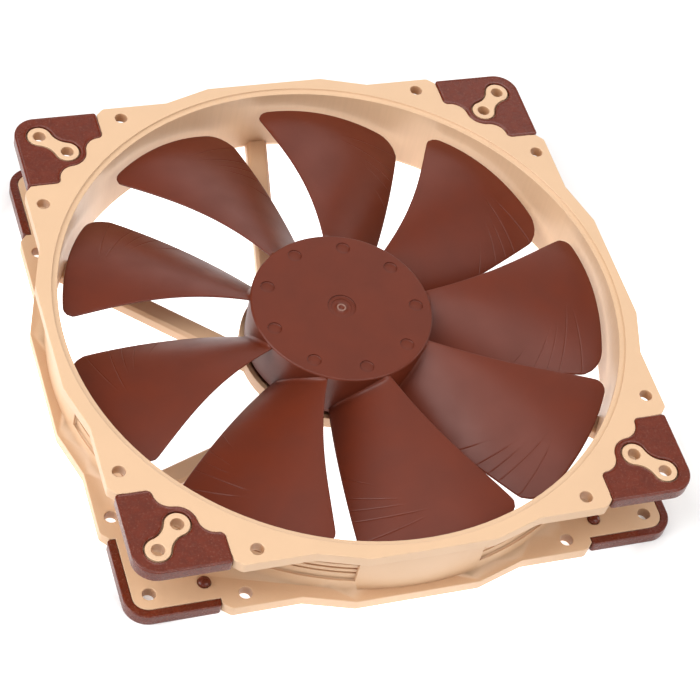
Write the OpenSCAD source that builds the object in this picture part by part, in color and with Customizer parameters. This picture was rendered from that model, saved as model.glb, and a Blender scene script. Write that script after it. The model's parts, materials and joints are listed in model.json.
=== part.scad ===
// Case fan, 200 mm square and 30 mm deep.
// Origin: centre of the rear face, on the spin axis. +Z points to the inlet side, where the hub cap is.
// Seen from +Z the impeller turns counter-clockwise, and each blade's higher edge leads.

/* [Frame] */
// Overall width of the square frame, across the flats
size = 200; // [198:1:202]
// Overall depth, from the rear pads to the front pads
depth = 30; // [28:1:32]
// Thickness of each corner flange, pads included
flange_t = 4.5; // [4:0.1:5]
// Inner radius of the air duct
duct_r = 95; // [94.6:0.1:95.4]
// Outer radius of the shroud wall
shroud_r = 97.5; // [97.3:0.1:98]
// Radius of the stepped edge at the inlet
inlet_step_r = 96.9; // [96.5:0.1:97]

/* [Mounting holes] */
// Radius of every mounting hole
hole_r = 2.15; // [2:0.05:2.3]
// Half spacing of the outer corner holes
outer_hole = 85; // [84:0.5:86]
// Half spacing of the inner corner holes
inner_hole = 77; // [76:0.5:78]
// Long half spacing of the side holes
side_hole_long = 90; // [89:0.5:91]
// Short half spacing of the side holes
side_hole_short = 55; // [54:0.5:56]

/* [Impeller] */
// Number of blades
blades = 9; // [7:1:9]
// Blade tip radius
tip_r = 92.8; // [92:0.1:93.4]
// Outer radius of the hub
hub_r = 31; // [30:0.5:31]
// Height of the hub's flat cap
hub_top = 26; // [25.5:0.1:26.5]
// Height of the hub's lower edge
hub_bottom = 7; // [6.5:0.1:8]
// Greatest blade thickness
blade_t = 2; // [1.6:0.1:2.4]

/* [Motor] */
// Radius of the shaft
shaft_r = 2; // [1.5:0.1:2.2]
// Radial running clearance of the shaft in its bush
shaft_gap = 0.03; // [0.02:0.01:0.06]
// Outer radius of the motor base
base_r = 31.8; // [31.5:0.1:32.5]
// Number of struts that hold the motor base
struts = 6; // [4:1:6]

/* [Hidden] */
$fn = 96;
eps = 0.01;

// Frame levels: the moulding stands a little behind the pads on both faces
pad_proud = 0.25;
rear_z = pad_proud;
front_z = depth - pad_proud;
rear_flange_top = flange_t;
front_flange_bottom = depth - flange_t;

// Flange outline, as an octant from the middle of a side to the corner
half = size / 2;
side_flat = 21;
shoulder = half - 5;
shoulder_start = 37.5;
shoulder_end = 60.5;
shoulder_r = 2;
rim_inner = half - 9.5;
rim_inner_r = 5;
pad_end = 63.4;

// Pads
pad_outer = half - 6.6;
pad_corner_r = 8;
pad_end_r = 1;
pad_plate_t = 1.75;
pad_lobe_r = 6.45;
pad_nose = [83.8, 65.2];
pad_nose_r = 1.8;
pad_fillet_r = 5.8;
pad_gap = 0.1;
peg_at = [67, 84];
peg_r = 2.1;
peg_hole_r = 2.15;
peg_reach = 1.6;

// Boss round each pair of corner holes, which stands in the pad's opening
boss_r = 4.05;
boss_waist = 2.5;
boss_gap = 0.55;
boss_inset = 0.1;

// Duct and shroud
inlet_step = 0.9;
outlet_flare = 2;
outlet_flare_h = 3.25;
wall_lap = 0.2;

// Outside of the shroud: a plain panel in the middle of each side, and a ribbed recess between two panels
panel_half_angle = 12.6;
rib_recess = 1.2;
groove_levels = [12.3, 14.7, 17.2, 19.7, 22.2];
groove_h = 0.8;
groove_depth = 1.7;
lower_band_top = 9.2;

// Struts: straight bars, swept back from the shroud to the motor base
strut_w = 7.5;
strut_top = 5;
strut_chamfer = 1.1;
strut_first = 90;
strut_sweep = 28;
strut_spare = 4;
cable_strut = 0;
cable_slot_w = 3;
cable_slot_h = 2.2;

// Motor base
base_wall = 1.75;
base_top = 5.3;
floor_top = 1.9;
label_r = 28;
label_t = 0.3;
socket_r = 8;
socket_top = 4.2;
post_r = 1.6;
post_at = 20;

// Blade edges: angle in degrees and height, as polynomials of the share of the span
lead_angle = [85, 0.4, 17, -9.6];
trail_angle = [50.6, 12, -5.5, 1.8];
lead_z = [24.9, 4.7, -7.5];
trail_z = [8.6, 9.9, -5.9];
camber = [1.8, 1.1];
lead_corner_r = 5;
trail_corner_r = 8.5;
blade_edge_t = 0.7;
span_steps = 10;
chord_steps = 12;

// Hub
hub_wall = 1.8;
hub_cap_t = 1.8;
hub_edge = 0.7;
hub_draft = 0.6;
hub_bore_boss_r = 7;
hub_bore_boss_h = 3.6;
mark_ring_r = 25.7;
mark_r = 2.4;
mark_depth = 0.4;
mark_first = 32.4;
cap_recess_r = 4.8;
gate_r = 1.5;
gate_wall = 0.5;
gate_h = 0.2;

// Rotor
cap_under = hub_top - hub_cap_t;
yoke_r = hub_r - hub_wall;
yoke_t = 1.1;
yoke_bottom = hub_bottom + 1;
yoke_window_r = 10;
magnet_t = 3;
magnet_bottom = yoke_bottom + 0.5;
magnet_top = 22.6;
magnet_r = yoke_r - yoke_t;
brass_r = 4.2;
brass_bottom = 20.8;
shaft_bottom = 3;
shaft_top = cap_under - 0.4;
clip_z = 3.8;
clip_t = 0.5;
clip_r = 3.6;
shaft_neck_r = shaft_r - 0.4;

// Bearing
tube_r = 6;
tube_bore_r = 4.5;
tube_top = 19.2;
bush_bottom = 4.7;
bush_top = 17.4;
seal_t = 0.7;
seal_gap = 0.25;
thrust_r = 3.5;
thrust_top = 2.9;

// Stator
air_gap = 0.6;
core_r = magnet_r - magnet_t - air_gap;
core_bottom = 11;
core_top = 19;
poles = 4;
yoke_core_r = 9.5;
neck_w = 7;
shoe_t = 2.6;
shoe_half_angle = 39;
insulator_t = 1.2;
coil_t = 3;
coil_h = 2.2;
coil_in = 10.5;
coil_out = 19.4;

// Circuit board, which lies under the stator
board_z = 4.4;
board_t = 1.2;
board_r = 28;
board_bore_r = 8.4;

// Colours
beige = [0.93, 0.80, 0.66];
brown = [0.44, 0.23, 0.18];
steel = [0.72, 0.73, 0.75];
dark = [0.16, 0.16, 0.17];
brass = [0.80, 0.66, 0.36];
copper = [0.72, 0.40, 0.20];
green = [0.10, 0.32, 0.20];

// ---- Functions ----

// Value of a polynomial with coefficients c at s
function poly(c, s, i = 0) = i == len(c) ? 0 : c[i] * pow(s, i) + poly(c, s, i + 1);

// Point at radius r and angle a from the centre c
function polar(r, a, c = [0, 0]) = c + r * [cos(a), sin(a)];

// Points of an arc about c, from angle a0 to a1
function arc(c, r, a0, a1, n) = [for (i = [0:n]) polar(r, a0 + (a1 - a0) * i / n, c)];

// A list of points mirrored in the corner's diagonal, in reverse order
function mirrored(pts) = [for (i = [len(pts) - 1:-1:0]) [pts[i][1], pts[i][0]]];

// A list of points turned by angle a
function turned(pts, a) = [for (p = pts) [p[0] * cos(a) - p[1] * sin(a), p[0] * sin(a) + p[1] * cos(a)]];

// Direction of the vector v in degrees
function direction(v) = atan2(v[1], v[0]);

// Points of the rounding of radius r in the corner p, between the straight edges from a and to b
function rounded(a, p, b, r, n) =
    let (
        u = (a - p) / norm(a - p),
        v = (b - p) / norm(b - p),
        half_turn = acos(u * v) / 2,
        c = p + (u + v) / norm(u + v) * r / sin(half_turn),
        from = direction(p + u * r / tan(half_turn) - c),
        to = direction(p + v * r / tan(half_turn) - c)
    )
    arc(c, r, from, to, n);

// Centre of the circle of radius r that touches the circles (a, ra) and (b, rb) from outside, right of a to b
function touching(a, ra, b, rb, r) =
    let (d = norm(b - a), u = (b - a) / d, p = ra + r, q = rb + r, x = (p * p - q * q + d * d) / (2 * d))
    a + x * u + sqrt(p * p - x * x) * [u[1], -u[0]];

// ---- Outlines ----

// Outline of a flange: eight mirrored octants round the square
module flange_outline() {
    shoulder_foot = [pad_end - 0.2, shoulder - 2.5];
    octant = concat(
        [[side_flat, half], [shoulder_start, shoulder]],
        rounded([shoulder_start, shoulder], [shoulder_end, shoulder], shoulder_foot, shoulder_r, 5),
        [shoulder_foot, [pad_end - 0.2, rim_inner]]
    );
    corner = arc([rim_inner - rim_inner_r, rim_inner - rim_inner_r], rim_inner_r, 90, 0, 8);
    quarter = concat(octant, corner, mirrored(octant));
    polygon([for (q = [0:3]) for (p = turned(quarter, -90 * q)) p]);
}

// Boss round the two corner holes: two circles joined by a hollow waist, grown by g all round
module boss_outline(g = 0) {
    centre = (outer_hole + inner_hole) / 2;
    reach = (outer_hole - inner_hole) / sqrt(2);
    waist_r = (reach * reach + boss_waist * boss_waist - boss_r * boss_r) / (2 * (boss_r - boss_waist));
    waist_at = boss_waist + waist_r;
    tangent = boss_r / (boss_r + waist_r);
    translate([centre, centre]) rotate(45) {
        for (s = [-1, 1]) translate([s * reach, 0]) circle(r = boss_r + g, $fn = 48);
        difference() {
            square([2 * reach * (1 - tangent), 2 * waist_at * tangent], center = true);
            for (s = [-1, 1]) translate([0, s * waist_at]) circle(r = waist_r - g, $fn = 64);
        }
    }
}

// Outline of a pad's plate, grown by g where it meets the flange
module pad_outline(g = 0) {
    lobe = [inner_hole, inner_hole];
    fillet = touching(lobe, pad_lobe_r, pad_nose, pad_nose_r, pad_fillet_r);
    fillet_mirrored = [fillet[1], fillet[0]];
    to_nose = direction(pad_nose - fillet);
    to_lobe = direction(lobe - fillet);
    from_lobe = direction(fillet - lobe);
    side = concat(
        arc(pad_nose, pad_nose_r + g, -90, to_nose - 180, 6),
        arc(fillet, pad_fillet_r - g, to_nose, to_lobe, 8)
    );
    lobe_arc = arc(lobe, pad_lobe_r + g, from_lobe, direction(fillet_mirrored - lobe), 12);
    outer = arc([pad_outer - pad_corner_r, pad_outer - pad_corner_r], pad_corner_r, 90, 0, 12);
    end = arc([pad_outer - pad_end_r, pad_nose[1] - pad_nose_r - g + pad_end_r], pad_end_r, 0, -90, 4);
    polygon(concat(end, side, lobe_arc, mirrored(side), mirrored(end), outer));
}

// The band of a pad that wraps the flange's corner
module pad_rim_outline() {
    inner = rim_inner + pad_gap;
    difference() {
        intersection() {
            pad_outline();
            translate([pad_end, pad_end]) square(half);
        }
        polygon(concat(
            [[0, 0], [0, inner]],
            arc([inner - rim_inner_r, inner - rim_inner_r], rim_inner_r, 90, 0, 8),
            [[inner, 0]]
        ));
    }
}

// ---- Frame ----

module four_corners() {
    for (a = [0:90:270]) rotate(a) children();
}

// Both places of each mounting hole and peg that sit in one corner
module corner_pair(at) {
    translate(at) children();
    translate([at[1], at[0]]) children();
}

module mounting_holes() {
    four_corners() {
        for (p = [outer_hole, inner_hole]) translate([p, p, -1]) cylinder(r = hole_r, h = depth + 2);
        corner_pair([side_hole_long, side_hole_short]) translate([0, 0, -1]) cylinder(r = hole_r, h = depth + 2);
        corner_pair(peg_at) translate([0, 0, -1]) cylinder(r = peg_hole_r, h = depth + 2, $fn = 48);
    }
}

// One flange with its pad recesses and bosses, face up, from z = 0
module flange() {
    t = flange_t - pad_proud;
    recess = pad_plate_t - pad_proud;
    difference() {
        linear_extrude(t) flange_outline();
        translate([0, 0, t - recess]) linear_extrude(recess + 1) four_corners() pad_outline(pad_gap);
    }
    linear_extrude(t + pad_proud - boss_inset) four_corners() boss_outline();
}

// Profile that is cut from the outside of the shroud: the recess above its lower band, and the grooves
module rib_cut() {
    to = front_flange_bottom + wall_lap;
    translate([shroud_r - rib_recess, lower_band_top]) square([2, to - lower_band_top]);
    for (z = groove_levels) translate([shroud_r - groove_depth, z - groove_h / 2]) square([2, groove_h]);
}

// Outside of the duct: plain on the panels and ribbed between them
module shroud() {
    difference() {
        translate([0, 0, rear_z]) cylinder(r = shroud_r, h = front_z - rear_z, $fn = 180);
        four_corners() rotate(panel_half_angle)
            rotate_extrude(angle = 90 - 2 * panel_half_angle, $fn = 180) rib_cut();
    }
}

// The way of the air through the frame: flared outlet, duct and stepped inlet
module air_path() {
    rotate_extrude($fn = 180) polygon([
        [0, rear_z - 1],
        [duct_r + outlet_flare, rear_z - 1],
        [duct_r + outlet_flare, rear_z],
        [duct_r, rear_z + outlet_flare_h],
        [duct_r, front_z - inlet_step],
        [inlet_step_r, front_z - inlet_step],
        [inlet_step_r, front_z + 1],
        [0, front_z + 1]
    ]);
}

// Runs a profile, drawn across strut i, along the strut's line, with some length to spare at both ends
module along_strut(i) {
    from = polar(shroud_r, 0);
    run = polar(base_r - 1, strut_sweep) - from;
    rotate(strut_first + i * 360 / struts) translate(from) rotate([90, 0, direction(run) + 90])
        translate([0, 0, -strut_spare]) linear_extrude(norm(run) + 2 * strut_spare) children();
}

// Chamfered bar from the shroud to the motor base
module strut(i) {
    w = strut_w / 2;
    difference() {
        intersection() {
            along_strut(i) polygon([
                [-w, rear_z], [w, rear_z],
                [w, strut_top - strut_chamfer], [w - strut_chamfer, strut_top],
                [strut_chamfer - w, strut_top], [-w, strut_top - strut_chamfer]
            ]);
            cylinder(r = shroud_r - 2 * wall_lap, h = depth, $fn = 180);
        }
        translate([0, 0, -1]) cylinder(r = base_r - base_wall + wall_lap, h = depth);
    }
}

// Round tray that carries the motor
module motor_base() {
    difference() {
        translate([0, 0, rear_z]) cylinder(r = base_r, h = base_top - rear_z);
        translate([0, 0, floor_top]) cylinder(r = base_r - base_wall, h = depth);
        translate([0, 0, -1]) cylinder(r = label_r + 0.1, h = 1 + rear_z + label_t);
    }
    difference() {
        translate([0, 0, floor_top - 0.5]) cylinder(r = socket_r, h = socket_top - floor_top + 0.5);
        translate([0, 0, floor_top]) cylinder(r = tube_r, h = depth);
    }
    for (a = [45:90:315]) rotate(a) translate([post_at, 0, floor_top - 0.5])
        cylinder(r = post_r, h = board_z - floor_top + 0.5, $fn = 32);
}

// Channel for the leads, under one strut, open at the frame's side and at the motor base
module cable_slot() {
    along_strut(cable_strut) translate([-cable_slot_w / 2, -1]) square([cable_slot_w, rear_z + 1 + cable_slot_h]);
}

module frame() {
    color(beige) difference() {
        union() {
            difference() {
                union() {
                    translate([0, 0, front_flange_bottom]) flange();
                    translate([0, 0, rear_flange_top]) mirror([0, 0, 1]) flange();
                    shroud();
                }
                air_path();
            }
            for (i = [0:struts - 1]) strut(i);
            motor_base();
        }
        mounting_holes();
        cable_slot();
    }
}

// ---- Corner pads ----

// Soft pad for corner i of a front flange: plate, wrapping rim and two retaining pegs
module corner_pad(i) {
    rotate(90 * (i - 1)) {
        difference() {
            union() {
                translate([0, 0, depth - pad_plate_t]) linear_extrude(pad_plate_t) pad_outline();
                translate([0, 0, front_flange_bottom]) linear_extrude(flange_t) pad_rim_outline();
            }
            translate([0, 0, front_flange_bottom - 1]) linear_extrude(flange_t + 2) boss_outline(boss_gap);
        }
        corner_pair(peg_at) translate([0, 0, front_flange_bottom - peg_reach]) {
            cylinder(r1 = peg_r - 0.7, r2 = peg_r, h = 0.7, $fn = 48);
            translate([0, 0, 0.7]) cylinder(r = peg_r, h = flange_t + peg_reach - pad_plate_t, $fn = 48);
        }
    }
}

module front_pad(i) {
    color(brown) corner_pad(i);
}

module rear_pad(i) {
    color(brown) translate([0, 0, depth]) mirror([0, 0, 1]) corner_pad(i);
}

// ---- Impeller ----

// Share of the span at radius r
function span(r) = (r - hub_r) / (tip_r - hub_r);

// How far a rounded corner of radius r cuts into the tip, at distance a from the edge
function corner_cut(a, r) = a >= r ? 0 : r - sqrt(r * r - (r - a) * (r - a));

// Tip radius at the share t of the chord, rounded into both edges
function tip_radius(t) =
    let (chord = tip_r * (poly(lead_angle, 1) - poly(trail_angle, 1)) * PI / 180)
    tip_r - corner_cut(t * chord, lead_corner_r) - corner_cut((1 - t) * chord, trail_corner_r);

// Share of the chord for step j, closer together at both edges
function chord_share(j) = (1 - cos(180 * j / chord_steps)) / 2;

// A point of the blade: side is 1 on the upper skin and -1 on the lower one
function blade_point(i, j, side) =
    let (
        t = chord_share(j),
        r = hub_r - 1 + (tip_radius(t) - hub_r + 1) * i / span_steps,
        s = span(r),
        a = poly(lead_angle, s) * (1 - t) + poly(trail_angle, s) * t,
        bulge = 4 * t * (1 - t),
        z = poly(lead_z, s) * (1 - t) + poly(trail_z, s) * t + poly(camber, s) * bulge,
        half_t = (blade_edge_t + (blade_t - blade_edge_t) * bulge) / 2
    )
    [r * cos(a), r * sin(a), z + side * half_t];

module blade() {
    n = chord_steps + 1;
    m = span_steps + 1;
    skin = n * m;
    pts = [for (side = [1, -1]) for (i = [0:span_steps]) for (j = [0:chord_steps]) blade_point(i, j, side)];
    cells = [for (i = [0:span_steps - 1]) for (j = [0:chord_steps - 1]) [i * n + j, i * n + j + 1, (i + 1) * n + j + 1, (i + 1) * n + j]];
    ring = concat(
        [for (j = [0:chord_steps]) j],
        [for (i = [1:span_steps]) i * n + chord_steps],
        [for (j = [chord_steps - 1:-1:0]) span_steps * n + j],
        [for (i = [span_steps - 1:-1:1]) i * n]
    );
    edge = [for (k = [0:len(ring) - 1]) [ring[k], ring[(k + 1) % len(ring)]]];
    polyhedron(pts, concat(
        [for (c = cells) [c[0], c[2], c[1]]],
        [for (c = cells) [c[0], c[3], c[2]]],
        [for (c = cells) [c[0] + skin, c[1] + skin, c[2] + skin]],
        [for (c = cells) [c[0] + skin, c[2] + skin, c[3] + skin]],
        [for (e = edge) [e[0], e[1], e[1] + skin]],
        [for (e = edge) [e[0], e[1] + skin, e[0] + skin]]
    ), convexity = 4);
}

// Cap and skirt, with the shallow moulding marks on the cap
module hub() {
    difference() {
        rotate_extrude($fn = 144) polygon([
            [0, cap_under - hub_bore_boss_h], [hub_bore_boss_r, cap_under - hub_bore_boss_h],
            [hub_bore_boss_r, cap_under], [hub_r - hub_wall, cap_under],
            [hub_r - hub_wall, hub_bottom], [hub_r - hub_draft, hub_bottom],
            [hub_r, hub_top - hub_edge], [hub_r - hub_edge, hub_top], [0, hub_top]
        ]);
        for (k = [0:8]) rotate(mark_first + 40 * k) translate([mark_ring_r, 0, hub_top - mark_depth])
            cylinder(r = mark_r, h = 1, $fn = 48);
        translate([0, 0, hub_top - mark_depth]) difference() {
            cylinder(r = cap_recess_r, h = 1, $fn = 64);
            translate([0, 0, -1]) cylinder(r = gate_r, h = 1 + gate_h, $fn = 48);
        }
        translate([0, 0, hub_top - mark_depth]) cylinder(r = gate_r - gate_wall, h = 1, $fn = 48);
        translate([0, 0, brass_bottom - 1]) cylinder(r = brass_r, h = cap_under - brass_bottom + 1, $fn = 64);
    }
}

module impeller() {
    color(brown) {
        hub();
        for (k = [0:blades - 1]) rotate(k * 360 / blades) blade();
    }
}

// ---- Rotor ----

// A plain ring between two radii and two heights
module ring(r_out, r_in, z0, z1) {
    difference() {
        translate([0, 0, z0]) cylinder(r = r_out, h = z1 - z0);
        translate([0, 0, z0 - 1]) cylinder(r = r_in, h = z1 - z0 + 2);
    }
}

module rotor_yoke() {
    color(steel) {
        ring(yoke_r, yoke_r - yoke_t, yoke_bottom, cap_under);
        ring(yoke_r - yoke_t + eps, yoke_window_r, cap_under - yoke_t, cap_under);
    }
}

module rotor_magnet() {
    color(dark) ring(magnet_r, magnet_r - magnet_t, magnet_bottom, magnet_top);
}

module rotor_shaft() {
    color(steel) rotate_extrude($fn = 64) polygon([
        [0, shaft_bottom], [shaft_r - 0.5, shaft_bottom], [shaft_r, shaft_bottom + 0.5],
        [shaft_r, clip_z - 0.05], [shaft_neck_r, clip_z - 0.05],
        [shaft_neck_r, clip_z + clip_t + 0.05], [shaft_r, clip_z + clip_t + 0.05],
        [shaft_r, shaft_top], [0, shaft_top]
    ]);
}

module shaft_boss() {
    color(brass) ring(brass_r, shaft_r, brass_bottom, cap_under);
}

module retaining_clip() {
    color(beige) ring(clip_r, shaft_neck_r, clip_z, clip_z + clip_t);
}

// ---- Bearing ----

module bearing_tube() {
    color(brass) ring(tube_r, tube_bore_r, floor_top, tube_top);
}

module bearing_bush() {
    color(brass) ring(tube_bore_r, shaft_r + shaft_gap, bush_bottom, bush_top);
}

module oil_seal() {
    color(dark) ring(tube_bore_r, shaft_r + seal_gap, bush_top, bush_top + seal_t);
}

module thrust_pad() {
    color(dark) translate([0, 0, floor_top]) cylinder(r = thrust_r, h = thrust_top - floor_top, $fn = 48);
}

// ---- Stator ----

// Outline of the laminations, or of the insulators that cover them
module stator_outline(shoe) {
    difference() {
        union() {
            circle(r = yoke_core_r);
            for (k = [0:poles - 1]) rotate(k * 360 / poles) translate([0, -neck_w / 2]) square([core_r - 1, neck_w]);
            if (shoe) for (k = [0:poles - 1]) rotate(k * 360 / poles) difference() {
                intersection() {
                    circle(r = core_r);
                    polygon([[0, 0], polar(2 * core_r, -shoe_half_angle), polar(2 * core_r, shoe_half_angle)]);
                }
                circle(r = core_r - shoe_t);
            }
        }
        circle(r = tube_r);
    }
}

module stator_core() {
    color(steel) translate([0, 0, core_bottom]) linear_extrude(core_top - core_bottom) stator_outline(true);
}

module insulator() {
    linear_extrude(insulator_t) intersection() {
        stator_outline(false);
        circle(r = core_r - shoe_t);
    }
}

module upper_insulator() {
    color(beige) translate([0, 0, core_top]) insulator();
}

module lower_insulator() {
    color(beige) translate([0, 0, core_bottom - insulator_t]) insulator();
}

// Winding round the neck of pole i
module coil(i) {
    neck_z0 = core_bottom - insulator_t;
    neck_z1 = core_top + insulator_t;
    color(copper) rotate((i - 1) * 360 / poles) translate([coil_in, 0, (neck_z0 + neck_z1) / 2]) difference() {
        rotate([90, 0, 90]) linear_extrude(coil_out - coil_in) difference() {
            square([neck_w + 2 * coil_t, neck_z1 - neck_z0 + 2 * coil_h], center = true);
            square([neck_w, neck_z1 - neck_z0], center = true);
        }
    }
}

// ---- Electronics ----

module circuit_board() {
    color(green) ring(board_r, board_bore_r, board_z, board_z + board_t);
}

module driver_chip() {
    color(dark) translate([12, -2.5, board_z - 1.6]) cube([5, 5, 1.6]);
}

module hall_sensor() {
    color(dark) rotate(45) translate([25, -2, board_z + board_t]) cube([1.5, 4, 1.9]);
}

module capacitor() {
    color(steel) rotate(135) translate([22, 0, board_z + board_t]) cylinder(r = 2.5, h = 2.2, $fn = 48);
}

module rear_label() {
    color(steel) translate([0, 0, rear_z]) cylinder(r = label_r, h = label_t);
}

frame();
front_pad(1);  // front_pad_1
front_pad(2);  // front_pad_2
front_pad(3);  // front_pad_3
front_pad(4);  // front_pad_4
rear_pad(1);  // rear_pad_1
rear_pad(2);  // rear_pad_2
rear_pad(3);  // rear_pad_3
rear_pad(4);  // rear_pad_4
impeller();
rotor_yoke();
rotor_magnet();
rotor_shaft();
shaft_boss();
retaining_clip();
bearing_tube();
bearing_bush();
oil_seal();
thrust_pad();
stator_core();
upper_insulator();
lower_insulator();
coil(1);  // coil_1
coil(2);  // coil_2
coil(3);  // coil_3
coil(4);  // coil_4
circuit_board();
driver_chip();
hall_sensor();
capacitor();
rear_label();
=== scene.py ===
# Case fan, 200 mm square: looks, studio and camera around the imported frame.
# Lengths are in millimetres in the mesh code, and MM turns them into Blender's metres.

import json
import math

import bmesh
import bpy
from mathutils import Matrix, Vector
from mathutils.geometry import tessellate_polygon


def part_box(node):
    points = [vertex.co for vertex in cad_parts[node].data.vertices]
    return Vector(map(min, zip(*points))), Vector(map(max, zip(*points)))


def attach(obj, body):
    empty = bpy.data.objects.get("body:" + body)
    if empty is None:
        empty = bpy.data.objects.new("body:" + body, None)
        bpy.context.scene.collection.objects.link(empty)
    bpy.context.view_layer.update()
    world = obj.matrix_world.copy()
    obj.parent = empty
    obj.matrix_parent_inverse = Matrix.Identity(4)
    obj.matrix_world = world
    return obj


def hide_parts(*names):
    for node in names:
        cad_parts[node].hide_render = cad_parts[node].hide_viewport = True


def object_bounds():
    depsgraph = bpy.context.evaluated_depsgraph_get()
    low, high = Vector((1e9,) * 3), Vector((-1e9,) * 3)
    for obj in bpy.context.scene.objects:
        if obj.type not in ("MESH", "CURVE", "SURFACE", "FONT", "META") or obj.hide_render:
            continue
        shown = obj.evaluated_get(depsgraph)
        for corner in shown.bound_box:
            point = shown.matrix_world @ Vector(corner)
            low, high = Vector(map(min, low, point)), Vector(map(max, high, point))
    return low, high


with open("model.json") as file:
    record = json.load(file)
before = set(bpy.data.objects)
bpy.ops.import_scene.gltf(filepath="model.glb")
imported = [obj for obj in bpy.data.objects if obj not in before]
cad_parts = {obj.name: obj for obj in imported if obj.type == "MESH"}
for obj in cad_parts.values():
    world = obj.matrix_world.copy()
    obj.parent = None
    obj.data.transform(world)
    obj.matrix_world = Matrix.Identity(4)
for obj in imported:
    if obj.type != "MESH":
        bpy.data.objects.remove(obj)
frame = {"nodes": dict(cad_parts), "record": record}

MM = 0.001
CAD_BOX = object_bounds()

# The impeller's driving dimensions, as the CAD model has them
BLADES = 9
HUB_R = 31.0
TIP_R = 92.8
HUB_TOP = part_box("impeller")[1].z / MM
HUB_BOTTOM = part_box("impeller")[0].z / MM
HUB_EDGE = 0.7
HUB_DRAFT = 0.6
HUB_WALL = 1.8
CAP_UNDER = HUB_TOP - 1.8
# Radius and height of the boss round the shaft's brass boss
BORE_BOSS = (7.0, 3.6)
BRASS_R = 4.2
# Angle and height of the blade's leading and trailing edges, and the rise between them: each is the
# coefficients of 1, s, s^2 and so on, where s is the share of the span from the hub to the tip
LEAD_ANGLE = (85, 0.4, 17, -9.6)
TRAIL_ANGLE = (50.6, 12, -5.5, 1.8)
LEAD_Z = (24.9, 4.7, -7.5)
TRAIL_Z = (8.6, 9.9, -5.9)
CAMBER = (1.8, 1.1)
LEAD_CORNER_R = 5.0
TRAIL_CORNER_R = 8.5
BLADE_T = 2.0
BLADE_EDGE_T = 0.7

# The corner pads' driving dimensions: plate, rim, lobe, nose and pegs, and the boss of the corner's two holes
PAD_LOW, PAD_HIGH = (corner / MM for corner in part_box("front_pad_1"))
PAD_END, PAD_OUTER = PAD_LOW.x, PAD_HIGH.x
PAD_PLATE_T = 1.75
PAD_RIM_T = 2.8
PAD_RIM_H = 4.5
PAD_CORNER_R = 8.0
PAD_END_R = 1.0
PAD_RIM_INNER_R = 5.0
PAD_LOBE_R = 6.45
PAD_NOSE = (83.8, 65.2)
PAD_NOSE_R = 1.8
PAD_FILLET_R = 5.8
OUTER_HOLE, INNER_HOLE = 85.0, 77.0
BOSS_R = 4.05
BOSS_WAIST = 2.5
BOSS_GAP = 0.55
PEG_AT = (67.0, 84.0)
PEG_R = 2.1

# The motor's driving dimensions
CORE_LOW, CORE_HIGH = (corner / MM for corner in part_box("stator_core"))
CORE_R = CORE_HIGH.x
CORE_BORE_R = 6.0
YOKE_CORE_R = 9.5
NECK_W = 7.0
SHOE_T = 2.6
SHOE_HALF_ANGLE = 39.0
LAMINATION_T = 0.5
COIL_LOW, COIL_HIGH = (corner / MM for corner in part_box("coil_1"))
INSULATOR_T = 1.2
WIRE_T = 0.45
POLES = 4


# ---------------------------------------------------------------- Materials

def set_inputs(node, **values):
    for name, value in values.items():
        node.inputs[name.replace("_", " ")].default_value = value


def new_material(name):
    material = bpy.data.materials.new(name)
    material.use_nodes = True
    return material, material.node_tree, material.node_tree.nodes["Principled BSDF"]


def own_place(tree, stretch=(1, 1, 1)):
    """The piece's own coordinates in metres, each multiplied by its stretch."""
    place = tree.nodes.get("place") or tree.nodes.new("ShaderNodeTexCoord")
    place.name = "place"
    if stretch == (1, 1, 1):
        return place.outputs["Object"]
    mapping = tree.nodes.new("ShaderNodeMapping")
    mapping.inputs["Scale"].default_value = stretch
    tree.links.new(place.outputs["Object"], mapping.inputs["Vector"])
    return mapping.outputs["Vector"]


def add_noise(tree, scale, detail, rough=0.5, stretch=(1, 1, 1)):
    """A noise over the piece's own coordinates; scale is in waves per metre."""
    noise = tree.nodes.new("ShaderNodeTexNoise")
    set_inputs(noise, Scale=scale, Detail=detail, Roughness=rough)
    tree.links.new(own_place(tree, stretch), noise.inputs["Vector"])
    return noise.outputs["Fac"]


def distance_from(tree, place):
    """The length of a place, which is its distance from the origin."""
    length = tree.nodes.new("ShaderNodeVectorMath")
    length.operation = "LENGTH"
    tree.links.new(place, length.inputs[0])
    return length.outputs["Value"]


def ramp(tree, source, stops):
    """A colour ramp with (position, colour) stops."""
    node = tree.nodes.new("ShaderNodeValToRGB")
    while len(node.color_ramp.elements) < len(stops):
        node.color_ramp.elements.new(0.5)
    for element, (position, colour) in zip(node.color_ramp.elements, stops):
        element.position = position
        element.color = (*colour, 1)
    tree.links.new(source, node.inputs["Fac"])
    return node.outputs["Color"]


def spread(tree, source, low, high, source_range=(0.3, 0.7)):
    """Maps a source's range, by default a noise's usual one, to low to high."""
    node = tree.nodes.new("ShaderNodeMapRange")
    set_inputs(node, From_Min=source_range[0], From_Max=source_range[1], To_Min=low, To_Max=high)
    tree.links.new(source, node.inputs["Value"])
    return node.outputs["Result"]


def add_bump(tree, shader, layers):
    """Stacks (height source, strength, distance in metres) bumps on a shader's normal."""
    last = None
    for source, strength, distance in layers:
        bump = tree.nodes.new("ShaderNodeBump")
        set_inputs(bump, Strength=strength, Distance=distance)
        tree.links.new(source, bump.inputs["Height"])
        if last:
            tree.links.new(last, bump.inputs["Normal"])
        last = bump.outputs["Normal"]
    tree.links.new(last, shader.inputs["Normal"])


def scaled(colour, factor):
    return tuple(min(1.0, c * factor) for c in colour)


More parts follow.
